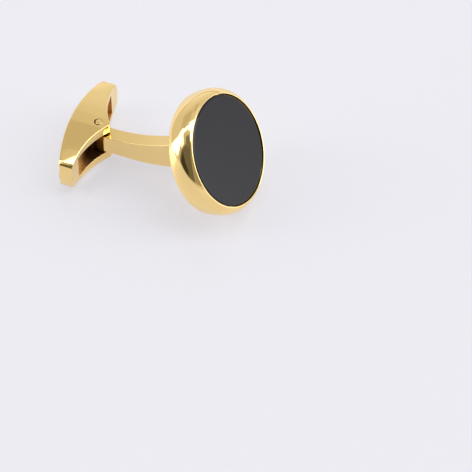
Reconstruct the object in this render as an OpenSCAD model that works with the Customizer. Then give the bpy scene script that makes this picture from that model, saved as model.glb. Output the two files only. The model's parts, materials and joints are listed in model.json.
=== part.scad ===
// A round cufflink with a swivelling bar, lying on its side, in millimetres with +Z up.
// X runs from the bar to the head, Y along the bar, and the pivot pin stands along Z.
// The bar's side and the edge of the head's back both touch the surface at Z = 0.

/* [Head] */
// Widest radius of the head
head_r = 8.25; // [8.2:0.05:8.4]
// Radius of the rounding round the head's front
ring_r = 2; // [1.9:0.05:2.1]
// Radius of the flatter curve of the head's wall behind the widest place
wall_r = 7; // [6.5:0.5:8]
// Thickness of the head from its face to its flat back
head_t = 3.35; // [3.2:0.05:3.5]
// Width of the flat lip between the seat and the rounding
lip_w = 0.15; // [0.12:0.01:0.2]
// Radius of the seat for the disc
seat_r = 7.3; // [7.2:0.05:7.35]
// Depth of the seat
seat_d = 1.3; // [1:0.1:1.6]
// Tilt of the face away from upright, in degrees
head_tilt = 32.5; // [30:0.5:34]
// Distance along X from the pivot to the middle of the face
head_x = 18.1; // [17.8:0.1:19]

/* [Disc] */
// Gap between the disc and the seat's wall
disc_gap = 0.08; // [0.04:0.01:0.12]
// Thickness of the disc
disc_t = 1.22; // [1.1:0.01:1.24]
// Width of the bevel round the disc's face
disc_bevel = 0.25; // [0.1:0.05:0.3]

/* [Post] */
// Width of the post along Y
post_w = 1.8; // [1.6:0.02:1.8]
// Height of the post's straight end, which sits in the slot
tongue_h = 3; // [2.8:0.1:3]
// Radius of the curve along the post's upper side
upper_r = 18; // [17.8:0.1:22]
// Distance along X from the pivot to the start of the upper curve
upper_x = 1.3; // [1.3:0.1:2]
// Radius of the curve along the post's under side
under_r = 21.7; // [20:0.1:24]
// Distance along X from the pivot to the start of the under curve
under_x = 4.2; // [3.6:0.1:4.6]

/* [Bar] */
// Length of the bar over its bulging ends
bar_l = 15.6; // [15.3:0.1:16]
// Width of the bar along the pivot
bar_w = 6.5; // [6.3:0.1:6.7]
// Distance from the pivot to the crown of the bar's back
bar_back = 3.75; // [3.6:0.05:4]
// Radius of the back's curve
back_r = 24.5; // [20:0.5:26]
// Distance that the front lies behind the pivot at the tips
wing_back = 0.72; // [0.7:0.01:0.8]
// Radius of the hollow front of each wing
wing_r = 11.5; // [11:0.1:12]
// Distance along Y from the pivot to the deepest place of each wing's front
wing_y = 6.9; // [6.8:0.05:7]
// Rounding of the nose between the wings
nose_r = 0.35; // [0.2:0.05:0.5]
// Radius of the bar's bulging sides
side_r = 25; // [24:1:36]
// Distance along Y where the sides turn in to the tips
shoulder_y = 6.95; // [6.9:0.05:7]
// Radius of the turn
shoulder_r = 1.2; // [1:0.1:1.3]
// Radius of the bulging ends, seen from the front
tip_r = 6.3; // [6:0.1:6.6]

/* [Slot and pivot] */
// Length of the slot
slot_l = 11.3; // [11.1:0.1:11.5]
// Width of the slot along the pivot
slot_w = 3.7; // [3.66:0.02:3.8]
// Distance from the pivot to the slot's floor
slot_floor = 1.25; // [1.2:0.01:1.4]
// Diameter of the pivot pin
pin_d = 0.9; // [0.8:0.05:1]
// Bevel round the pin's ends
pin_bevel = 0.14; // [0.1:0.01:0.2]
// Depth and width of the groove round each end of the pin
groove = 0.16; // [0.1:0.01:0.2]
// Radial clearance between the pin and the post's eye
eye_play = 0.03; // [0.02:0.01:0.06]

/* [Hidden] */
$fn = 128;
// Sides of the circles whose radius is many times the part's height
large_fn = 360;
gold = [0.87, 0.73, 0.42];
onyx = [0.26, 0.26, 0.27];
// How far a shape that cuts or joins reaches past a face that it meets, and past a whole piece
eps = 0.01;
over = 1;
// Radial gap between the pin and the bar, and the gap below the disc
pin_fit = 0.005;
floor_gap = 0.02;

// The front's rounding follows a circle of radius ring_cr, ring_cd behind the face
lip_r = seat_r + lip_w;
ring_cr = head_r - ring_r;
ring_cd = sqrt(ring_r * ring_r - pow(lip_r - ring_cr, 2));

// The radius of the edge between the head's wall and its back
back_edge_r = head_r - wall_r + sqrt(wall_r * wall_r - pow(head_t - ring_cd, 2));

// Depth behind the face at which the post ends, inside the head
post_end = (seat_d + head_t) / 2;

// Heights at which the bar's side and the head's back edge both rest on Z = 0
pin_z = bar_w / 2;
head_z = head_t * sin(head_tilt) + back_edge_r * cos(head_tilt);

// The pivot's place along X that puts the whole part's middle at X = 0. The head's foremost place is the
// lip's edge, where the rounding starts at a steeper turn than the head's tilt.
lip_turn = asin((lip_r - ring_cr) / ring_r);
front_x = head_x + (lip_turn > head_tilt
    ? lip_r * sin(head_tilt)
    : ring_cr * sin(head_tilt) - ring_cd * cos(head_tilt) + ring_r);
pin_x = (bar_back - front_x) / 2;

// The centre of each wing's hollow, and the nose's circle that touches both
wing_x = wing_r - wing_back;
nose_x = wing_x - sqrt(pow(wing_r + nose_r, 2) - wing_y * wing_y);
nose_cut = nose_x + nose_r * (wing_x - nose_x) / (wing_r + nose_r);

// The centre of each turn at the tips, which touches the side's curve at shoulder_y
side_cos = sqrt(1 - pow(shoulder_y / side_r, 2));
turn_y = shoulder_y * (1 - shoulder_r / side_r);
turn_z = bar_w / 2 - side_r + (side_r - shoulder_r) * side_cos;

// Moves a piece drawn about the pivot's middle to its place
module at_pivot() {
    translate([pin_x, 0, pin_z])
        children();
}

// Moves a piece drawn about the face's middle, with +Z out of the face, to its place
module at_head() {
    translate([pin_x + head_x, 0, head_z])
        rotate([0, 90 - head_tilt, 0])
            children();
}

// A circle of radius r that touches the head's widest place, cut off at two depths behind the face
module rim(r, from, to) {
    intersection() {
        translate([head_r - r, -ring_cd])
            circle(r = r);
        translate([ring_cr, -to])
            square([ring_r + over, to - from]);
    }
}

// Half of the head's section, with the axis at X = 0 and the face at Y = 0
module head_section() {
    difference() {
        union() {
            rim(ring_r, 0, ring_cd);
            rim(wall_r, ring_cd, head_t);
            translate([0, -head_t])
                square([ring_cr, head_t]);
        }
        translate([-eps, -seat_d])
            square([seat_r + eps, seat_d + eps]);
    }
}

// The post's side view about the pivot, with X along the part and Y up
module post_side() {
    half = tongue_h / 2;
    reach = head_x;
    intersection() {
        union() {
            translate([0, -half])
                square([under_x, tongue_h + half]);
            translate([under_x, under_r - half])
                intersection() {
                    circle(r = under_r);
                    translate([0, -under_r])
                        square([under_r, under_r]);
                }
        }
        difference() {
            translate([0, -half])
                square([reach, reach]);
            translate([upper_x, upper_r + half])
                circle(r = upper_r);
            translate([-eps, half])
                square([upper_x + eps, upper_r]);
        }
        translate([head_x, head_z - pin_z])
            rotate(head_tilt)
                translate([-2 * reach, -reach])
                    square([2 * reach - post_end, 2 * reach]);
    }
}

// The post, with a rounded eye at the pivot
module post() {
    at_pivot() {
        rotate([90, 0, 0])
            linear_extrude(post_w, center = true)
                post_side();
        cylinder(d = post_w, h = tongue_h, center = true);
    }
}

module setting() {
    color(gold)
        difference() {
            union() {
                at_head()
                    rotate_extrude()
                        head_section();
                post();
            }
            at_pivot()
                cylinder(d = pin_d + 2 * eye_play, h = tongue_h + over, center = true);
        }
}

module stone() {
    stone_r = seat_r - disc_gap;
    color(onyx)
        at_head()
            translate([0, 0, floor_gap - seat_d])
                rotate_extrude()
                    polygon([
                        [0, 0],
                        [stone_r, 0],
                        [stone_r, disc_t - disc_bevel / 2],
                        [stone_r - disc_bevel, disc_t],
                        [0, disc_t],
                    ]);
}

// The bar seen along the pivot, with X to the head and Y along the bar
module bar_plan() {
    intersection() {
        translate([back_r - bar_back, 0])
            circle(r = back_r, $fn = large_fn);
        difference() {
            translate([-bar_back - over, -bar_l])
                square([bar_back + over + nose_cut, 2 * bar_l]);
            for (side = [-1, 1])
                translate([wing_x, side * wing_y])
                    circle(r = wing_r, $fn = large_fn);
        }
    }
    translate([nose_x, 0])
        circle(r = nose_r);
}

// The lens between the bar's two bulging sides
module bar_sides() {
    intersection_for(up = [-1, 1])
        translate([0, up * (side_r - bar_w / 2)])
            circle(r = side_r, $fn = large_fn);
}

// One end of the bar: two turns and the bulge that joins them
module bar_tip() {
    intersection() {
        translate([bar_l / 2 - tip_r, 0])
            circle(r = tip_r);
        union() {
            for (up = [-1, 1])
                translate([turn_y, up * turn_z])
                    circle(r = shoulder_r);
            translate([turn_y, -turn_z])
                square([bar_l, 2 * turn_z]);
        }
    }
}

// The bar seen from the head, with X along the bar and Y up
module bar_front() {
    intersection() {
        square([2 * shoulder_y, bar_w + over], center = true);
        bar_sides();
    }
    for (side = [0, 1])
        mirror([side, 0])
            bar_tip();
}

module toggle() {
    color(gold)
        at_pivot()
            difference() {
                intersection() {
                    linear_extrude(2 * bar_w, center = true)
                        bar_plan();
                    rotate([90, 0, 90])
                        linear_extrude(4 * bar_back, center = true)
                            bar_front();
                }
                translate([-slot_floor, -slot_l / 2, -slot_w / 2])
                    cube([bar_back + slot_floor, slot_l, slot_w]);
                cylinder(d = pin_d + 2 * pin_fit, h = bar_w + over, center = true);
                for (end = [0, 1])
                    mirror([0, 0, end])
                        translate([0, 0, bar_w / 2 - groove])
                            cylinder(d1 = pin_d + 2 * pin_fit, d2 = pin_d + 2 * groove, h = groove + eps);
            }
}

module pivot_pin() {
    straight = bar_w - 2 * pin_bevel;
    color(gold)
        at_pivot() {
            cylinder(d = pin_d, h = straight, center = true);
            for (end = [0, 1])
                mirror([0, 0, end])
                    translate([0, 0, straight / 2])
                        cylinder(d1 = pin_d, d2 = pin_d - 2 * pin_bevel, h = pin_bevel);
        }
}

setting();
stone();
toggle();
pivot_pin();
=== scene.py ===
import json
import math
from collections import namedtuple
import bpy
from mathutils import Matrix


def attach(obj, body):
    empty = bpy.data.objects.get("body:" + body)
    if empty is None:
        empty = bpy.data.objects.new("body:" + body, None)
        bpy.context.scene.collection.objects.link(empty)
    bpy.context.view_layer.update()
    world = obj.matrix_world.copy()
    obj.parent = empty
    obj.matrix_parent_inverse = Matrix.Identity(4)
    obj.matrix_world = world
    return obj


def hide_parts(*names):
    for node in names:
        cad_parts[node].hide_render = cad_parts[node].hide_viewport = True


bl_info = {
    "name": "Round Cufflink",
    "version": (1, 0, 0),
    "blender": (4, 5, 0),
    "location": "3D View > Sidebar > Cufflink",
    "description": "Finishes a round gold cufflink with a black disc and a swivelling bar",
    "category": "Object",
}

from types import SimpleNamespace

import bmesh
import bpy
from mathutils import Matrix, Quaternion, Vector

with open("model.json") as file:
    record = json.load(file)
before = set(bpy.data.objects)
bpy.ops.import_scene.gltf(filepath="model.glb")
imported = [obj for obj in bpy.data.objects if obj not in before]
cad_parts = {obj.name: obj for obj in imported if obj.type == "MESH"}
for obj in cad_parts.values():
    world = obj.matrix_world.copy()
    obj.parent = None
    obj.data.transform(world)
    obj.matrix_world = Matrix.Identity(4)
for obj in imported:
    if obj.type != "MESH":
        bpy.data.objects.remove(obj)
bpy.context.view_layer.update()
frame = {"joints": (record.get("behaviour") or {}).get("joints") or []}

# The pieces are modelled at a bench where one unit is a millimetre, and brought to metres at the end
BENCH = 1000
PIVOT = Vector(frame["joints"][0]["pos_m"]) * BENCH
X, Y, Z = range(3)

# How close two points lie that count as one, when they are picked and when they are welded
NEAR = 1e-3
WELD = 1e-4

# How much longer a drill is than what it goes through
OVER = 1

# How close to the bar's front an edge lies that is on the slot's mouth
MOUTH_NEAR = 0.02

# The least share of a face's normal that points along the pivot on the bar's two sides
ALONG_PIVOT = 0.9

# The side of the pin on which its groove is widest
GROOVE_SIDE = Vector((-0.93, -0.37))

# Faces turned by more than the first angle meet in a sharp edge, which may be rounded, and faces
# turned by more than the second aren't shaded as one
SHARP_TURN = math.radians(25)
SHADED_TURN = math.radians(32)

# Numbers of faces round or along the curves
HEAD_STEPS = 256
SECTION_STEPS = 192
WALL_STEPS = 16
EYE_STEPS = 64
POST_STEPS = 36
PIN_STEPS = 64
NOSE_STEPS = 8
WING_STEPS = 34
SHOULDER_STEPS = 16
TIP_STEPS = 20


def length(name, description, default, least=0):
    """Makes a property that holds a length or a place in metres."""
    return bpy.props.FloatProperty(
        name=name, description=description, default=default, min=least, unit="LENGTH", precision=5
    )


def colour(name, description, default):
    """Makes a property that holds a colour."""
    return bpy.props.FloatVectorProperty(
        name=name, description=description, default=default, size=3, min=0, max=1, subtype="COLOR"
    )


def share(name, description, default):
    """Makes a property that holds a share from nought to one."""
    return bpy.props.FloatProperty(
        name=name, description=description, default=default, min=0, max=1, subtype="FACTOR"
    )


def angle(name, description, degrees):
    """Makes a property that holds an angle, which the code gives in degrees."""
    return bpy.props.FloatProperty(
        name=name, description=description, default=math.radians(degrees), subtype="ANGLE"
    )


class HeadSizes(bpy.types.PropertyGroup):
    """Sizes of the round head."""

    radius: length("Radius", "Widest radius of the head", 0.00825)
    ring_radius: length("Ring radius", "Radius of the rounding round the head's front", 0.002)
    wall_radius: length("Wall radius", "Radius of the wall's curve behind the widest place", 0.007)
    thickness: length("Thickness", "Thickness of the head from its face to its flat back", 0.00335)
    back_edge: length("Back edge", "Rounding along the edge of the back", 0.00006)
    lip_width: length("Lip width", "Flat lip between the seat and the rounding", 0.00015)
    lip_edge: length("Lip edge", "Rounding along the lip's two edges", 0.00003)
    seat_radius: length("Seat radius", "Radius of the seat for the disc", 0.0073)
    seat_depth: length("Seat depth", "Depth of the seat", 0.0013)
    tilt: angle("Tilt", "Tilt of the face away from upright", 32.5)
    reach: length("Reach", "Distance from the pivot to the middle of the face", 0.0181)


class DiscSizes(bpy.types.PropertyGroup):
    """Sizes of the black disc."""

    gap: length("Gap", "Gap between the disc and the seat's wall", 0.00008)
    floor_gap: length("Floor gap", "Gap between the disc and the seat's floor", 0.00002)
    thickness: length("Thickness", "Thickness of the disc", 0.00122)
    bevel: length("Bevel", "Width of the bevel round the disc's face", 0.00025)
    edge: length("Edge", "Rounding along the bevel's inner edge", 0.00004)


class PostSizes(bpy.types.PropertyGroup):
    """Sizes of the curved post."""

    width: length("Width", "Width of the post", 0.0018)
    tongue: length("Tongue height", "Height of the straight end in the slot", 0.003)
    upper_radius: length("Upper radius", "Radius of the upper side's curve", 0.018)
    upper_start: length("Upper start", "Distance from the pivot to the upper curve", 0.0013)
    under_radius: length("Under radius", "Radius of the under side's curve", 0.0217)
    under_start: length("Under start", "Distance from the pivot to the under curve", 0.0042)
    edge: length("Edge", "Rounding along the post's edges", 0.00006)
    eye_play: length("Eye play", "Radial clearance between the pin and the eye", 0.00003)
    # Up to this distance past the pivot, the post also has the painted shade of the slot
    eye_reach: length("Eye reach", "How far past the pivot the post is unpolished", 0.0004)


class BarSizes(bpy.types.PropertyGroup):
    """Sizes of the swivelling bar."""

    length: length("Length", "Length over the bulging ends", 0.0156)
    width: length("Width", "Width of the bar along the pivot", 0.0065)
    back: length("Back", "Distance from the pivot to the crown of the back", 0.00375)
    back_radius: length("Back radius", "Radius of the back's curve", 0.0245)
    wing_back: length("Wing back", "Distance of the wings' fronts behind the pivot", 0.00072)
    wing_radius: length("Wing radius", "Radius of each wing's hollow front", 0.0115)
    wing_place: length("Wing place", "Distance from the pivot to each hollow's deepest place", 0.0069)
    nose_radius: length("Nose radius", "Rounding of the nose between the wings", 0.00035)
    side_radius: length("Side radius", "Radius of the bulging sides", 0.025)
    shoulder: length("Shoulder", "Distance from the pivot to where the sides turn in", 0.00695)
    shoulder_radius: length("Shoulder radius", "Radius of that turn", 0.0012)
    tip_radius: length("Tip radius", "Radius of the bulging ends", 0.0063)
    slot_length: length("Slot length", "Length of the slot", 0.0113)
    slot_width: length("Slot width", "Width of the slot along the pivot", 0.0037)
    slot_floor: length("Slot floor", "Distance from the pivot to the slot's floor", 0.00125)
    edge: length("Edge", "Rounding along the bar's outer edges", 0.00012)
    slot_edge: length("Slot edge", "Rounding along the slot's mouth", 0.00007)


class PinSizes(bpy.types.PropertyGroup):
    """Sizes of the pivot pin and its holes."""

    diameter: length("Diameter", "Diameter of the pin", 0.0009)
    rounding: length("Rounding", "Rounding of the pin's ends", 0.00006)
    fit: length("Fit", "Radial gap between the pin and the bar", 0.000005)
    groove: length("Groove", "Greatest width of the crescent groove at each end", 0.00018)
    groove_depth: length("Groove depth", "Depth of that groove", 0.0003)
    edge: length("Edge", "Rounding along the groove's outer edge", 0.00005)


class Finishes(bpy.types.PropertyGroup):
    """Colours and gloss of the materials."""

    gold: colour("Gold", "Colour of the gold plate", (0.98, 0.73, 0.32))
    gold_deep: colour("Deep gold", "Colour of its slightly warmer clouds", (0.97, 0.7, 0.28))
    gold_roughness: share("Gold roughness", "Roughness of the polished gold", 0.05)
    # The recess colour is the unpolished gold's own, and the deep recess colour is painted shade by the
    # post and the pin, which fades out between the two reaches
    recess: colour("Recess", "Colour of the unpolished gold at the slot's ends", (1.0, 0.66, 0.28))
    recess_painted_shade: colour("Deep recess", "Its colour by the post and the pin", (0.3, 0.17, 0.055))
    shade_fade_from: length("Deep reach", "Distance along the bar where that starts to fade", 0.002)
    shade_fade_to: length("Clean reach", "Distance along the bar where it is gone", 0.0042)
    recess_roughness: share("Recess roughness", "Roughness of the unpolished gold", 0.4)
    stone: colour("Stone", "Colour of the black disc", (0.004, 0.004, 0.0045))
    stone_roughness: share("Stone roughness", "Roughness of the polished disc", 0.02)
    stone_ior: bpy.props.FloatProperty(
        name="Stone IOR", description="Refractive index of the polished disc", default=1.41, min=1
    )
    floor: colour("Floor", "Colour of the pale floor", (0.3, 0.3, 0.3))
    floor_roughness: share("Floor roughness", "Roughness of the pale floor", 0.3)
    floor_glow: colour("Floor glow", "Light that comes through the floor", (0.5, 0.5, 0.55))


class StageSizes(bpy.types.PropertyGroup):
    """Places of the camera and the lights round the cufflink."""

    azimuth: angle("Azimuth", "Direction of the camera round the cufflink", 21.88)
    elevation: angle("Elevation", "Height of the camera above the floor", 53.24)
    distance: length("Distance", "Distance from the camera to the point it looks at", 0.4263)
    aim_x: length("Aim along", "Place along the cufflink that the camera looks at", 0.01233, -1)
    aim_y: length("Aim across", "Place across the cufflink that the camera looks at", -0.00657, -1)
    roll: angle("Roll", "Roll of the camera", -1.12)
    lens: bpy.props.FloatProperty(
        name="Lens", description="Focal length in millimetres", default=252.3, min=1
    )
    sensor: bpy.props.FloatProperty(
        name="Sensor", description="Width of the camera's sensor in millimetres", default=36, min=1
    )
    floor_size: length("Floor size", "Side of the square floor", 3.0)
    light_azimuth: angle("Light azimuth", "Direction that the lights are turned to", 22)
    light: colour("Light", "Colour of the lights", (0.94, 0.95, 1.0))
    dim_light: colour("Dim light", "Colour of what lies between them", (1.0, 0.95, 0.82))
    haze: share("Haze", "Brightness between the lights", 0.77)
    horizon: share("Horizon", "Brightness of the pale horizon", 0.75)


GROUPS = {
    "head": HeadSizes,
    "disc": DiscSizes,
    "post": PostSizes,
    "bar": BarSizes,
    "pin": PinSizes,
    "finishes": Finishes,
    "stage": StageSizes,
}


def values(name):
    """Gives a group's values, with its lengths in millimetres and without their last-digit noise."""
    group = getattr(bpy.context.scene, "cufflink_" + name)
    found = {}
    for prop in GROUPS[name].bl_rna.properties:
        value = getattr(group, prop.identifier)
        if prop.type == "FLOAT" and prop.unit == "LENGTH":
            value = round(value * BENCH, 4)
        found[prop.identifier] = value
    return SimpleNamespace(**found)


def put_down():
    """Leaves edit mode with nothing selected, because an operator acts on all that is."""
    if bpy.context.mode != "OBJECT":
        bpy.ops.object.mode_set(mode="OBJECT")
    bpy.ops.object.select_all(action="DESELECT")


def take_up(piece):
    """Selects one piece alone and makes it the active one."""
    put_down()
    piece.select_set(True)
    bpy.context.view_layer.objects.active = piece


def edit(piece):
    """Opens one piece in edit mode, with all of it selected."""
    take_up(piece)
    bpy.ops.object.mode_set(mode="EDIT")
    bpy.ops.mesh.select_all(action="SELECT")


def begin(name):
    """Names the primitive that was just added and opens it in edit mode, with its place in its mesh."""
    piece = bpy.context.object
    piece.name = piece.data.name = name
    bpy.ops.object.transform_apply()
    edit(piece)
    return piece


def move(piece, matrix):
    """Moves a piece with its place kept in its mesh."""
    take_up(piece)
    piece.matrix_world = matrix
    bpy.ops.object.transform_apply()


def pick(piece, kind, test):
    """Selects the vertices, edges or faces of the edited piece that pass a test."""
    bpy.ops.mesh.select_mode(type=kind)
    bpy.ops.mesh.select_all(action="DESELECT")
    mesh = bmesh.from_edit_mesh(piece.data)
    items = {"VERT": mesh.verts, "EDGE": mesh.edges, "FACE": mesh.faces}[kind]
    picked = [item for item in items if test(item)]
    if not picked:
        raise RuntimeError(f"{piece.name} has nothing to pick")
    for item in picked:
        item.select_set(True)
    mesh.select_flush_mode()
    bmesh.update_edit_mesh(piece.data)


def lies_at(item, axis, place):
    """Says whether all of an edge or a face lies at one place along an axis."""
    return all(abs(vertex.co[axis] - place) < NEAR for vertex in item.verts)


def extrude(x=0, y=0, z=0):
    """Extrudes what is selected and moves it."""
    bpy.ops.mesh.extrude_region_move(TRANSFORM_OT_translate={"value": (x, y, z)})


def extrude_to_axis():
    """Extrudes the selected vertex of a section straight to the Z axis."""
    extrude()
    bpy.ops.transform.resize(value=(0, 1, 1), center_override=(0, 0, 0))


def extrude_through(stations):
    """Extrudes the selected upright face from the first station to each next one.

    A station is the face's middle and its size along X, Y and Z, and a size of nought isn't scaled.
    """
    for (place, size), (next_place, next_size) in zip(stations, stations[1:]):
        extrude(*(next_place - place))
        ratio = [after / before if before else 1 for before, after in zip(size, next_size)]
        bpy.ops.transform.resize(value=ratio, center_override=next_place)


def cut_off(place, normal, fill=False):
    """Cuts the edited piece by a plane, and takes away the side that the normal points to."""
    bpy.ops.mesh.select_all(action="SELECT")
    bpy.ops.mesh.bisect(
        plane_co=place, plane_no=normal, clear_outer=True, use_fill=fill, threshold=WELD
    )


def close_up():
    """Welds what lies together and turns every face outwards."""
    bpy.ops.mesh.select_mode(type="VERT")
    bpy.ops.mesh.select_all(action="SELECT")
    bpy.ops.mesh.remove_doubles(threshold=WELD)
    bpy.ops.mesh.normals_make_consistent(inside=False)


def round_edges(piece, width, segments, test=lambda edge: True):
    """Rounds the edited piece's sharp edges that pass a test."""

    def is_sharp(edge):
        return edge.is_manifold and edge.calc_face_angle() > SHARP_TURN

    pick(piece, "EDGE", lambda edge: is_sharp(edge) and test(edge))
    bpy.ops.mesh.bevel(
        offset=width, segments=segments, affect="EDGES", clamp_overlap=False, loop_slide=True
    )


def drill(radius, depth, place=PIVOT):
    """Adds a straight drill that stands along the pivot."""
    put_down()
    bpy.ops.mesh.primitive_cylinder_add(
        vertices=PIN_STEPS, radius=radius, depth=depth, location=place
    )
    return bpy.context.object


def combine(piece, other, operation, solver="EXACT"):
    """Joins another shape to the piece or cuts it out, and removes the other shape.

    The piece has no material yet, and loses the empty slot that this gives it.
    """
    put_down()
    modifier = piece.modifiers.new(operation.lower(), "BOOLEAN")
    modifier.operation = operation
    modifier.solver = solver
    modifier.object = other
    take_up(piece)
    bpy.ops.object.modifier_apply(modifier=modifier.name)
    piece.data.materials.clear()
    bpy.data.objects.remove(other)


def darken(piece, test):
    """Gives the faces that pass a test the satin finish of the recesses that no polishing reaches, with
    painted shade that darkens them by the post and the pin.
    """
    put_down()
    piece.data.materials.append(polished_gold())
    piece.data.materials.append(unpolished_gold_with_painted_shade())
    edit(piece)
    pick(piece, "FACE", test)
    piece.active_material_index = 1
    bpy.ops.object.material_slot_assign()
    put_down()


def complete(piece, material, body, nodes):
    """Brings a modelled piece from the bench to its place on the cufflink, and finishes its surface."""
    move(piece, Matrix.Scale(1 / BENCH, 4))
    bpy.ops.object.shade_smooth_by_angle(angle=SHADED_TURN)
    modifier = piece.modifiers.new("even_shading", "WEIGHTED_NORMAL")
    modifier.keep_sharp = True
    bpy.ops.object.modifier_apply(modifier=modifier.name)
    if not piece.data.materials:
        piece.data.materials.append(material)
    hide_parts(*nodes)
    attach(piece, body)
    put_down()


def ring_middle(head):
    """Gives the radius and the depth behind the face of the circle that the front's rounding follows."""
    radius = head.radius - head.ring_radius
    inner = head.seat_radius + head.lip_width - radius
    return radius, math.sqrt(head.ring_radius**2 - inner**2)


def back_radius(head):
    """Gives the radius of the edge between the head's wall and its back."""
    below = head.thickness - ring_middle(head)[1]
    return head.radius - head.wall_radius + math.sqrt(head.wall_radius**2 - below**2)


def face_place(head):
    """Gives the matrix that takes a piece drawn about the face's middle, facing +Z, to its place."""
    height = head.thickness * math.sin(head.tilt) + back_radius(head) * math.cos(head.tilt)
    middle = Vector((PIVOT.x + head.reach, 0, height))
    return Matrix.Translation(middle) @ Matrix.Rotation(math.pi / 2 - head.tilt, 4, "Y")


def draw_section(piece, head):
    """Turns a circle into half of the head's section, which is open along the Z axis."""
    radius, depth = ring_middle(head)
    for place, normal in (
        ((0, 0, 0), (0, 0, 1)),
        ((0, 0, -depth), (0, 0, -1)),
        ((radius, 0, 0), (-1, 0, 0)),
    ):
        cut_off(place, normal)

    def is_at(x, z):
        corner = Vector((x, 0, z))
        return lambda vertex: (vertex.co - corner).length < NEAR

    pick(piece, "VERT", is_at(head.radius, -depth))
    bpy.ops.mesh.spin(
        steps=WALL_STEPS,
        angle=math.asin((head.thickness - depth) / head.wall_radius),
        center=(head.radius - head.wall_radius, 0, -depth),
        axis=(0, -1, 0),
    )
    pick(piece, "VERT", is_at(back_radius(head), -head.thickness))
    extrude_to_axis()
    pick(piece, "VERT", is_at(head.seat_radius + head.lip_width, 0))
    extrude(x=-head.lip_width)
    extrude(z=-head.seat_depth)
    extrude_to_axis()


def shape_head(head):
    """Turns the head: draws half of its section and spins it round the face's axis."""
    radius, depth = ring_middle(head)
    put_down()
    bpy.ops.mesh.primitive_circle_add(
        vertices=SECTION_STEPS,
        radius=head.ring_radius,
        location=(radius, 0, -depth),
        rotation=(math.pi / 2, 0, 0),
    )
    piece = begin("ring_and_post")
    draw_section(piece, head)
    bpy.ops.mesh.select_all(action="SELECT")
    bpy.ops.mesh.spin(
        steps=HEAD_STEPS, angle=math.tau, center=(0, 0, 0), axis=(0, 0, 1), use_auto_merge=True
    )
    close_up()
    for height in (-head.thickness, -head.seat_depth):
        pick(piece, "FACE", lambda face: lies_at(face, Z, height))
        bpy.ops.mesh.dissolve_faces()
    round_edges(piece, head.lip_edge, 2, lambda edge: lies_at(edge, Z, 0))
    round_edges(piece, head.back_edge, 3, lambda edge: lies_at(edge, Z, -head.thickness))
    move(piece, face_place(head))
    return piece


def post_station(post, x):
    """Gives the post's middle and size in its upright section at a distance from the pivot."""
    half = post.tongue / 2
    upper = max(x - post.upper_start, 0)
    under = max(x - post.under_start, 0)
    top = half + post.upper_radius - math.sqrt(post.upper_radius**2 - upper**2)
    low = -half + post.under_radius - math.sqrt(post.under_radius**2 - under**2)
    return Vector((x, 0, (top + low) / 2)), (0, 0, top - low)


def shape_post(post, head):
    """Draws the post out from its round eye at the pivot into the head."""
    put_down()
    bpy.ops.mesh.primitive_cylinder_add(
        vertices=EYE_STEPS, radius=post.width / 2, depth=post.tongue, location=(0, 0, 0)
    )
    piece = begin("post")
    cut_off((0, 0, 0), (1, 0, 0), fill=True)
    pick(piece, "FACE", lambda face: lies_at(face, X, 0))
    curved = head.reach - post.upper_start
    places = [0, post.eye_reach]
    places += [post.upper_start + curved * step / POST_STEPS for step in range(POST_STEPS + 1)]
    extrude_through([post_station(post, x) for x in places])

    # The post ends inside the head, between the seat's floor and the back
    face = face_place(head)
    normal = face.to_3x3() @ Vector((0, 0, 1))
    end = face.translation - PIVOT - normal * (head.seat_depth + head.thickness) / 2
    cut_off(end, normal, fill=True)
    close_up()

    def is_at_end(edge):
        return all(abs((vertex.co - end).dot(normal)) < NEAR for vertex in edge.verts)

    round_edges(piece, post.edge, 3, lambda edge: not is_at_end(edge))
    move(piece, Matrix.Translation(PIVOT))
    return piece


class CUFFLINK_OT_setting(bpy.types.Operator):
    """Model the round head with its post, soldered into one piece"""

    bl_idname = "cufflink.setting"
    bl_label = "Head and Post"

    def execute(self, context):
        head, post, pin = values("head"), values("post"), values("pin")
        piece = shape_head(head)
        combine(piece, shape_post(post, head), "UNION", "MANIFOLD")
        eye = drill(pin.diameter / 2 + post.eye_play, post.tongue + OVER)
        combine(piece, eye, "DIFFERENCE", "MANIFOLD")
        # The post's eye in the slot gets the unpolished gold, darkened by painted shade
        darken(piece, lambda face: (face.calc_center_median() - PIVOT).x < post.eye_reach)
        complete(piece, polished_gold(), "head", ["setting"])
        return {"FINISHED"}


class CUFFLINK_OT_disc(bpy.types.Operator):
    """Model the black disc in its seat"""

    bl_idname = "cufflink.disc"
    bl_label = "Black Disc"

    def execute(self, context):
        head, disc = values("head"), values("disc")
        bevel_depth = disc.bevel / 2
        straight = disc.thickness - bevel_depth
        floor = disc.floor_gap - head.seat_depth
        top = floor + straight
        put_down()
        bpy.ops.mesh.primitive_cylinder_add(
            vertices=HEAD_STEPS,
            radius=head.seat_radius - disc.gap,
            depth=straight,
            location=(0, 0, floor + straight / 2),
        )
        piece = begin("black_disc")
        pick(piece, "FACE", lambda face: lies_at(face, Z, top))
        bpy.ops.mesh.inset(thickness=disc.bevel, depth=0)
        bpy.ops.transform.translate(value=(0, 0, bevel_depth))
        round_edges(piece, disc.edge, 3, lambda edge: lies_at(edge, Z, top + bevel_depth))
        move(piece, face_place(head))
        complete(piece, black_stone(), "head", ["stone"])
        return {"FINISHED"}


def arc(middle_y, middle_z, radius, start, end, steps):
    """Gives the points after the first along an arc."""
    turns = [start + (end - start) * step / steps for step in range(1, steps + 1)]
    return [(middle_y + radius * math.cos(turn), middle_z + radius * math.sin(turn)) for turn in turns]


def nose_end(bar):
    """Gives the distance along the bar at which the nose's rounding meets the hollow of a wing."""
    return bar.nose_radius * bar.wing_place / (bar.wing_radius + bar.nose_radius)


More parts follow.
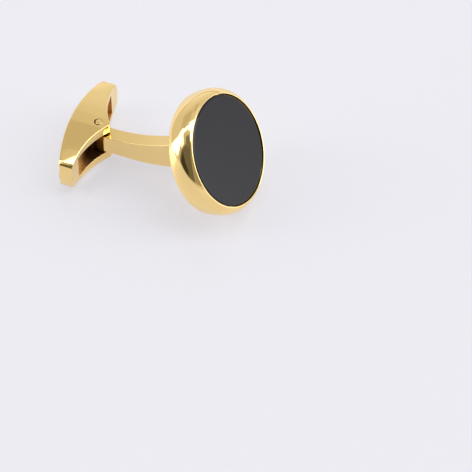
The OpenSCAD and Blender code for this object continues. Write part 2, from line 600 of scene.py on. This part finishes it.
def bar_outline(bar):
    """Gives the places along half of the bar, from its middle to its tip, each with half its width."""
    side_middle = bar.width / 2 - bar.side_radius
    turn_y = bar.shoulder * (1 - bar.shoulder_radius / bar.side_radius)
    lean = math.asin(bar.shoulder / bar.side_radius)
    turn_z = side_middle + (bar.side_radius - bar.shoulder_radius) * math.cos(lean)
    tip_y = bar.length / 2 - bar.tip_radius

    # The corner where the turn meets the bulging end
    away = Vector((turn_y - tip_y, turn_z))
    along = (bar.tip_radius**2 - bar.shoulder_radius**2 + away.length_squared) / (2 * away.length)
    aside = math.sqrt(bar.tip_radius**2 - along**2)
    across = away.normalized()
    corner = Vector((tip_y, 0)) + across * along + Vector((-across.y, across.x)) * aside

    nose = nose_end(bar)
    nose_turn = math.asin(nose / bar.nose_radius)
    turns = [nose_turn * step / NOSE_STEPS for step in range(NOSE_STEPS + 1)]
    places = [bar.nose_radius * math.sin(turn) for turn in turns]
    places += [nose + (bar.shoulder - nose) * step / WING_STEPS for step in range(1, WING_STEPS + 1)]
    outline = [(y, side_middle + math.sqrt(bar.side_radius**2 - y * y)) for y in places]
    turn_end = math.atan2(corner.y - turn_z, corner.x - turn_y)
    outline += arc(
        turn_y, turn_z, bar.shoulder_radius, math.pi / 2 - lean, turn_end, SHOULDER_STEPS
    )
    tip_start = math.atan2(corner.y, corner.x - tip_y)
    return outline + arc(tip_y, 0, bar.tip_radius, tip_start, 0, TIP_STEPS)


def bar_depth(bar, y):
    """Gives the places along X of the bar's back and front at a distance along the bar."""
    back = bar.back_radius - bar.back - math.sqrt(bar.back_radius**2 - y * y)
    wing_x = bar.wing_radius - bar.wing_back
    if y >= nose_end(bar):
        return back, wing_x - math.sqrt(bar.wing_radius**2 - (y - bar.wing_place) ** 2)
    apart = bar.wing_radius + bar.nose_radius
    nose_x = wing_x - math.sqrt(apart**2 - bar.wing_place**2)
    return back, nose_x + math.sqrt(bar.nose_radius**2 - y * y)


def bar_station(bar, y, half_width):
    """Gives the bar's middle and size in its upright section at a distance along the bar."""
    back, front = bar_depth(bar, y)
    return Vector(((back + front) / 2, y, 0)), (front - back, 0, 2 * half_width)


def shape_bar(bar):
    """Draws half of the bar out from its middle to its tip, and mirrors it."""
    stations = [bar_station(bar, y, half_width) for y, half_width in bar_outline(bar)]
    middle, size = stations[0]
    put_down()
    bpy.ops.mesh.primitive_plane_add(size=1, location=middle, rotation=(math.pi / 2, 0, 0))
    piece = begin("swivel_bar")
    bpy.ops.transform.resize(value=(size[X], 1, size[Z]), center_override=middle)
    extrude_through(stations)
    close_up()
    pick(piece, "FACE", lambda face: lies_at(face, Y, 0))
    bpy.ops.mesh.delete(type="FACE")
    modifier = piece.modifiers.new("other_half", "MIRROR")
    modifier.use_axis = (False, True, False)
    modifier.merge_threshold = WELD
    take_up(piece)
    bpy.ops.object.modifier_apply(modifier=modifier.name)
    edit(piece)
    close_up()
    move(piece, Matrix.Translation(PIVOT))
    return piece


def cut_bar(piece, bar, pin):
    """Cuts the slot, the hole for the pin and the crescent grooves beside it."""
    flat = pin.diameter / 2 + pin.groove + 2 * pin.edge

    def is_drilled(face, side):
        return face.normal.z * side > ALONG_PIVOT and abs(face.calc_center_median().y) < flat

    # The hole and the grooves are cut in one face on each side
    edit(piece)
    for side in (-1, 1):
        pick(piece, "FACE", lambda face: is_drilled(face, side))
        bpy.ops.mesh.dissolve_faces()
    put_down()
    depth = bar.back + bar.slot_floor
    bpy.ops.mesh.primitive_cube_add(
        size=1,
        location=PIVOT + Vector((depth / 2 - bar.slot_floor, 0, 0)),
        scale=(depth, bar.slot_length, bar.slot_width),
    )
    combine(piece, bpy.context.object, "DIFFERENCE")
    combine(piece, drill(pin.diameter / 2 + pin.fit, bar.width + OVER), "DIFFERENCE")
    for side in (-1, 1):
        place = PIVOT + Vector((*GROOVE_SIDE * pin.groove / 2, side * bar.width / 2))
        groove = drill(pin.diameter / 2 + pin.groove / 2, 2 * pin.groove_depth, place)
        combine(piece, groove, "DIFFERENCE")


def is_in_slot(bar, spot):
    """Says whether a spot lies within the slot's outline, seen from the front."""
    return abs(spot.y) < bar.slot_length / 2 + NEAR and abs(spot.z) < bar.slot_width / 2 + NEAR


def is_by_pin(pin, spot):
    """Says whether a spot lies at the pin or its grooves, seen along the pin."""
    return spot.xy.length < pin.diameter / 2 + 2 * pin.groove


def round_bar(piece, bar, pin):
    """Rounds the bar's outer edges, the slot's mouth and the grooves' outer edges."""

    def middle(edge):
        return (edge.verts[0].co + edge.verts[1].co) / 2 - PIVOT

    def is_outside(edge):
        return not is_in_slot(bar, middle(edge)) and not is_by_pin(pin, middle(edge))

    def is_on_mouth(edge):
        spot = middle(edge)
        front = bar_depth(bar, abs(spot.y))[1]
        return is_in_slot(bar, spot) and abs(spot.x - front) < MOUTH_NEAR

    def is_on_groove(edge):
        spot = middle(edge)
        return is_by_pin(pin, spot) and abs(spot.z) > bar.width / 2 - pin.groove / 2

    edit(piece)
    round_edges(piece, bar.edge, 4, is_outside)
    round_edges(piece, bar.slot_edge, 3, is_on_mouth)
    round_edges(piece, pin.edge, 2, is_on_groove)


class CUFFLINK_OT_bar(bpy.types.Operator):
    """Model the bar that swivels, with its slot and the holes for the pin"""

    bl_idname = "cufflink.bar"
    bl_label = "Swivel Bar"

    def execute(self, context):
        bar, pin = values("bar"), values("pin")
        piece = shape_bar(bar)
        cut_bar(piece, bar, pin)
        round_bar(piece, bar, pin)

        def is_in_recess(face):
            spot = face.calc_center_median() - PIVOT
            mouth = bar_depth(bar, abs(spot.y))[1] - 2 * bar.slot_edge
            deep_in_slot = is_in_slot(bar, spot) and -bar.slot_floor - NEAR < spot.x < mouth
            return deep_in_slot or is_by_pin(pin, spot) and abs(spot.z) < bar.width / 2 - pin.edge

        # The slot's inside, the pin's hole and its grooves get the unpolished gold, darkened by painted
        # shade
        darken(piece, is_in_recess)
        complete(piece, polished_gold(), "bar", ["toggle"])
        return {"FINISHED"}


class CUFFLINK_OT_pin(bpy.types.Operator):
    """Model the pivot pin with its rounded ends"""

    bl_idname = "cufflink.pin"
    bl_label = "Pivot Pin"

    def execute(self, context):
        bar, pin = values("bar"), values("pin")
        put_down()
        bpy.ops.mesh.primitive_cylinder_add(
            vertices=PIN_STEPS, radius=pin.diameter / 2, depth=bar.width, location=(0, 0, 0)
        )
        piece = begin("pivot_rivet")
        round_edges(piece, pin.rounding, 5)
        move(piece, Matrix.Translation(PIVOT))
        complete(piece, polished_gold(), "bar", ["pivot_pin"])
        return {"FINISHED"}


def feed(tree, value, socket):
    """Gives a socket another node's output, a colour or a number."""
    if isinstance(value, bpy.types.NodeSocket):
        tree.links.new(value, socket)
    elif socket.type == "RGBA":
        socket.default_value = (*value, 1)
    else:
        socket.default_value = value


def calculate(tree, operation, *terms):
    """Gives the result of a sum on numbers and other nodes' outputs."""
    node = tree.nodes.new("ShaderNodeMath")
    node.operation = operation
    for socket, term in zip(node.inputs, terms):
        feed(tree, term, socket)
    return node.outputs["Value"]


def spread(tree, value, start, end, low=0, high=1):
    """Gives a value that goes evenly from the start to the end as another goes from low to high."""
    node = tree.nodes.new("ShaderNodeMapRange")
    for name, number in (("From Min", low), ("From Max", high), ("To Min", start), ("To Max", end)):
        feed(tree, number, node.inputs[name])
    feed(tree, value, node.inputs["Value"])
    return node.outputs["Result"]


def fade(tree, value, start, end):
    """Gives a value that goes smoothly from nought to one as another goes from the start to the end."""
    ends = (0, 1) if start < end else (1, 0)
    faded = spread(tree, value, *ends, min(start, end), max(start, end))
    faded.node.interpolation_type = "SMOOTHSTEP"
    return faded


def mix_colours(tree, factor, first, second, blend="MIX"):
    """Gives the mix of two colours, which are at hand or come from other nodes."""
    node = tree.nodes.new("ShaderNodeMix")
    node.data_type = "RGBA"
    node.blend_type = blend
    for name, value in (("Factor", factor), ("A", first), ("B", second)):
        feed(tree, value, node.inputs[name])
    return node.outputs["Result"]


# A pattern's fineness in cells to the metre, and how much finer detail it has
Pattern = namedtuple("Pattern", "cells detail")
CLOUDS = Pattern(260, 3)
HAIRLINES = Pattern(2400, 2)
GRAIN = Pattern(3000, 3)
STONE_GRAIN = Pattern(900, 4)

# The part of the clouds' range over which the gold's haze goes from least to most
CLOUD_RANGE = (0.3, 0.7)

# How much closer the hairlines lie along Z, how much they show, and their depth in metres
HAIRLINE_SQUEEZE = 14
HAIRLINE_STRENGTH = 0.02
HAIRLINE_DEPTH = 0.00002

# The least and most of each surface's roughness, as shares of the one that it is given
GOLD_HAZE = (0.8, 1.25)
RECESS_HAZE = (0.8, 1.2)
STONE_HAZE = (0.5, 1.5)

# How bright the grimiest grains are, and how much lighter the stone's lightest grains
GRIME = 0.6
STONE_LIGHTER = 2


def start_material(name):
    """Gives a new material with its node tree and its shader."""
    material = bpy.data.materials.new(name)
    material.use_nodes = True
    return material, material.node_tree, material.node_tree.nodes["Principled BSDF"]


def place_on_piece(tree):
    """Gives the place of each point on the piece."""
    return tree.nodes.new("ShaderNodeTexCoord").outputs["Object"]


def noise(tree, place, pattern):
    """Gives a cloudy pattern."""
    node = tree.nodes.new("ShaderNodeTexNoise")
    feed(tree, pattern.cells, node.inputs["Scale"])
    feed(tree, pattern.detail, node.inputs["Detail"])
    feed(tree, place, node.inputs["Vector"])
    return node.outputs["Fac"]


def polished_gold():
    """Polished gold plate: faint warmer clouds, a little haze here and there and hairline marks."""
    made = bpy.data.materials.get("polished_gold")
    if made:
        return made
    finish = values("finishes")
    material, tree, shader = start_material("polished_gold")
    shader.inputs["Metallic"].default_value = 1
    place = place_on_piece(tree)
    clouds = noise(tree, place, CLOUDS)
    feed(tree, mix_colours(tree, clouds, finish.gold, finish.gold_deep), shader.inputs["Base Color"])
    least, most = [finish.gold_roughness * part for part in GOLD_HAZE]
    feed(tree, spread(tree, clouds, least, most, *CLOUD_RANGE), shader.inputs["Roughness"])

    squeeze = tree.nodes.new("ShaderNodeMapping")
    squeeze.inputs["Scale"].default_value = (1, 1, HAIRLINE_SQUEEZE)
    feed(tree, place, squeeze.inputs["Vector"])
    relief = tree.nodes.new("ShaderNodeBump")
    relief.inputs["Strength"].default_value = HAIRLINE_STRENGTH
    relief.inputs["Distance"].default_value = HAIRLINE_DEPTH
    feed(tree, noise(tree, squeeze.outputs["Vector"], HAIRLINES), relief.inputs["Height"])
    feed(tree, relief.outputs["Normal"], shader.inputs["Normal"])
    return material


def unpolished_gold_with_painted_shade():
    """Gold that the polishing didn't reach: satin, with a fine grain, and painted shade that is darkest
    beside the post and the pin and fades along the bar.
    """
    made = bpy.data.materials.get("unpolished_gold_with_painted_shade")
    if made:
        return made
    finish = values("finishes")
    material, tree, shader = start_material("unpolished_gold_with_painted_shade")
    shader.inputs["Metallic"].default_value = 1
    place = place_on_piece(tree)
    grain = noise(tree, place, GRAIN)
    parts = tree.nodes.new("ShaderNodeSeparateXYZ")
    feed(tree, place, parts.inputs["Vector"])
    from_post = calculate(tree, "ABSOLUTE", parts.outputs["Y"])
    # Painted shade: the colour is darkest by the post and the pin and fades to the recess colour along
    # the bar
    unshaded_share = fade(tree, from_post, finish.shade_fade_from / BENCH, finish.shade_fade_to / BENCH)
    shade_mix = mix_colours(tree, unshaded_share, finish.recess_painted_shade, finish.recess)
    grime = spread(tree, grain, 1, GRIME)
    feed(tree, mix_colours(tree, 1, shade_mix, grime, "MULTIPLY"), shader.inputs["Base Color"])
    least, most = [finish.recess_roughness * part for part in RECESS_HAZE]
    feed(tree, spread(tree, grain, least, most), shader.inputs["Roughness"])
    return material


def black_stone():
    """Black stone with a mirror polish and the faintest unevenness."""
    finish = values("finishes")
    material, tree, shader = start_material("black_stone")
    shader.inputs["IOR"].default_value = finish.stone_ior
    grain = noise(tree, place_on_piece(tree), STONE_GRAIN)
    lighter = [STONE_LIGHTER * part for part in finish.stone]
    feed(tree, mix_colours(tree, grain, finish.stone, lighter), shader.inputs["Base Color"])
    least, most = [finish.stone_roughness * part for part in STONE_HAZE]
    feed(tree, spread(tree, grain, least, most), shader.inputs["Roughness"])
    return material


def pale_floor():
    """Smooth pale board."""
    finish = values("finishes")
    material, tree, shader = start_material("pale_floor")
    feed(tree, finish.floor, shader.inputs["Base Color"])
    feed(tree, finish.floor_roughness, shader.inputs["Roughness"])
    feed(tree, finish.floor_glow, shader.inputs["Emission Color"])
    feed(tree, 1, shader.inputs["Emission Strength"])
    return material


# Distances from the camera, in metres, between which it shows things
CAMERA_RANGE = (0.01, 10)

# Sines of the elevations between which the pale horizon fades
HORIZON = (0.16, 0.06)

# The brightnesses between which the dim light's colour turns into the lights' own
DIM_RANGE = (0.5, 1)

# Soft patches of light and dark round the cufflink, each painted over the ones before it, in degrees.
# The lean is measured from overhead to the camera's side, and the arch from its left over the top.
Patch = namedtuple("Patch", "lean_from lean_to arch_from arch_to blur brightness")

# Past every lean and arch, so a patch that reaches it has no edge there
OPEN = 200

ROOM = {
    "near_sheet": Patch(-38, OPEN, -OPEN, 90, 9, 0.6),
    "sheet_top": Patch(-16, OPEN, 68, 90, 8, 0.72),
    "sheet_low": Patch(-44, -8, -OPEN, 38, 7, 0.76),
    "dim_panel": Patch(-36, -18, 58, 75, 5, 0.58),
    "brown_panel": Patch(-46, -28, 96, 111, 8, 0.58),
    "bright_panel": Patch(-32, -12, 112, 126, 6, 0.95),
    "back_wall": Patch(-OPEN, -50, -OPEN, OPEN, 14, 0.88),
    "back_floor": Patch(-OPEN, -66, -OPEN, OPEN, 12, 1.0),
    "left_wall": Patch(18, OPEN, -OPEN, 4, 6, 0.52),
    "dark_room": Patch(20, OPEN, 0, OPEN, 8, 0.16),
    "grey_room": Patch(16, OPEN, 110, OPEN, 12, 0.38),
    "camera_side": Patch(26, 64, 8, 46, 12, 0.05),
    "overhead_gap": Patch(8, 26, 74, 108, 8, 0.22),
}

# Painted over the horizon too
LIGHTS = {
    "left_strip": Patch(-12, 2, -OPEN, 54, 3, 3.6),
    "middle_strip": Patch(-8, -2, 52, 92, 3, 3.6),
    "right_strip": Patch(-12, 1, 90, OPEN, 3, 3.6),
    "left_light": Patch(-2, 9, 4, 54, 5, 3.6),
    "left_flap": Patch(6, 17, 40, 57, 4, 2.5),
    "right_light": Patch(-2, 15, 105, OPEN, 8, 3.6),
}


def paint(tree, below, brightness, mask):
    """Paints an even brightness over what is below it, where the mask is one."""
    mix = tree.nodes.new("ShaderNodeMix")
    for name, value in (("Factor", mask), ("A", below), ("B", brightness)):
        feed(tree, value, mix.inputs[name])
    return mix.outputs["Result"]


def paint_patches(tree, below, patches, lean, arch):
    """Paints patches over what is below them, each over the ones before it."""
    for patch in patches.values():
        half = patch.blur / 2
        mask = fade(tree, lean, patch.lean_from - half, patch.lean_from + half)
        for edge in (
            fade(tree, lean, patch.lean_to + half, patch.lean_to - half),
            fade(tree, arch, patch.arch_from - half, patch.arch_from + half),
            fade(tree, arch, patch.arch_to + half, patch.arch_to - half),
        ):
            mask = calculate(tree, "MULTIPLY", mask, edge)
        below = paint(tree, below, patch.brightness, mask)
    return below


def studio(stage):
    """Makes a world of soft patches that keep their places round the cufflink."""
    world = bpy.data.worlds.new("studio")
    world.use_nodes = True
    tree = world.node_tree
    place = tree.nodes.new("ShaderNodeTexCoord")
    turn = tree.nodes.new("ShaderNodeMapping")
    turn.inputs["Rotation"].default_value = (0, 0, -stage.light_azimuth)
    feed(tree, place.outputs["Generated"], turn.inputs["Vector"])
    parts = tree.nodes.new("ShaderNodeSeparateXYZ")
    feed(tree, turn.outputs["Vector"], parts.inputs["Vector"])
    right, away, up = parts.outputs
    near, left = [calculate(tree, "MULTIPLY", way, -1) for way in (away, right)]
    lean = calculate(tree, "DEGREES", calculate(tree, "ARCSINE", near))
    arch = calculate(tree, "DEGREES", calculate(tree, "ARCTAN2", up, left))
    light = paint_patches(tree, stage.haze, ROOM, lean, arch)
    light = paint(tree, light, stage.horizon, fade(tree, up, *HORIZON))
    light = paint_patches(tree, light, LIGHTS, lean, arch)
    tint = mix_colours(tree, fade(tree, light, *DIM_RANGE), stage.dim_light, stage.light)
    background = tree.nodes["Background"]
    feed(tree, tint, background.inputs["Color"])
    feed(tree, light, background.inputs["Strength"])
    return world


def camera_place(stage):
    """Gives the matrix of the camera, in metres, with the point that it looks at on the floor."""
    aim = Vector((stage.aim_x, stage.aim_y, 0))
    flat = math.cos(stage.elevation)
    away = Vector(
        (
            math.sin(stage.azimuth) * flat,
            -math.cos(stage.azimuth) * flat,
            math.sin(stage.elevation),
        )
    )
    turn = (-away).to_track_quat("-Z", "Y") @ Quaternion((0, 0, 1), stage.roll)
    place = (aim + away * stage.distance) / BENCH
    return Matrix.Translation(place) @ turn.to_matrix().to_4x4()


class CUFFLINK_OT_stage(bpy.types.Operator):
    """Set the pale floor, the soft light and the camera"""

    bl_idname = "cufflink.stage"
    bl_label = "Floor, Light and Camera"

    def execute(self, context):
        stage = values("stage")
        put_down()
        bpy.ops.mesh.primitive_plane_add(size=stage.floor_size / BENCH, location=(0, 0, 0))
        floor = bpy.context.object
        floor.name = "pale_board"
        floor.data.materials.append(pale_floor())
        context.scene.world = studio(stage)

        put_down()
        bpy.ops.object.camera_add()
        camera = bpy.context.object
        camera.matrix_world = camera_place(stage)
        camera.data.lens = stage.lens
        camera.data.sensor_width = stage.sensor
        camera.data.clip_start, camera.data.clip_end = CAMERA_RANGE
        context.scene.camera = camera
        context.scene.view_settings.view_transform = "Standard"
        return {"FINISHED"}


OPERATORS = (
    CUFFLINK_OT_setting,
    CUFFLINK_OT_disc,
    CUFFLINK_OT_bar,
    CUFFLINK_OT_pin,
    CUFFLINK_OT_stage,
)


class CUFFLINK_PT_sidebar(bpy.types.Panel):
    """Lists the cufflink's sizes and pieces"""

    bl_label = "Cufflink"
    bl_idname = "CUFFLINK_PT_sidebar"
    bl_space_type = "VIEW_3D"
    bl_region_type = "UI"
    bl_category = "Cufflink"

    def draw(self, context):
        for name, group in GROUPS.items():
            box = self.layout.box()
            box.label(text=name.capitalize())
            sizes = getattr(context.scene, "cufflink_" + name)
            for key in group.__annotations__:
                box.prop(sizes, key)
        for operator in OPERATORS:
            self.layout.operator(operator.bl_idname)


def register():
    for name, group in GROUPS.items():
        bpy.utils.register_class(group)
        setattr(bpy.types.Scene, "cufflink_" + name, bpy.props.PointerProperty(type=group))
    for operator in OPERATORS:
        bpy.utils.register_class(operator)
    bpy.utils.register_class(CUFFLINK_PT_sidebar)


def unregister():
    bpy.utils.unregister_class(CUFFLINK_PT_sidebar)
    for operator in reversed(OPERATORS):
        bpy.utils.unregister_class(operator)
    for name, group in reversed(GROUPS.items()):
        delattr(bpy.types.Scene, "cufflink_" + name)
        bpy.utils.unregister_class(group)


def main():
    register()
    bpy.ops.cufflink.setting()
    bpy.ops.cufflink.disc()
    bpy.ops.cufflink.bar()
    bpy.ops.cufflink.pin()
    bpy.ops.cufflink.stage()


if __name__ == "__main__":
    main()
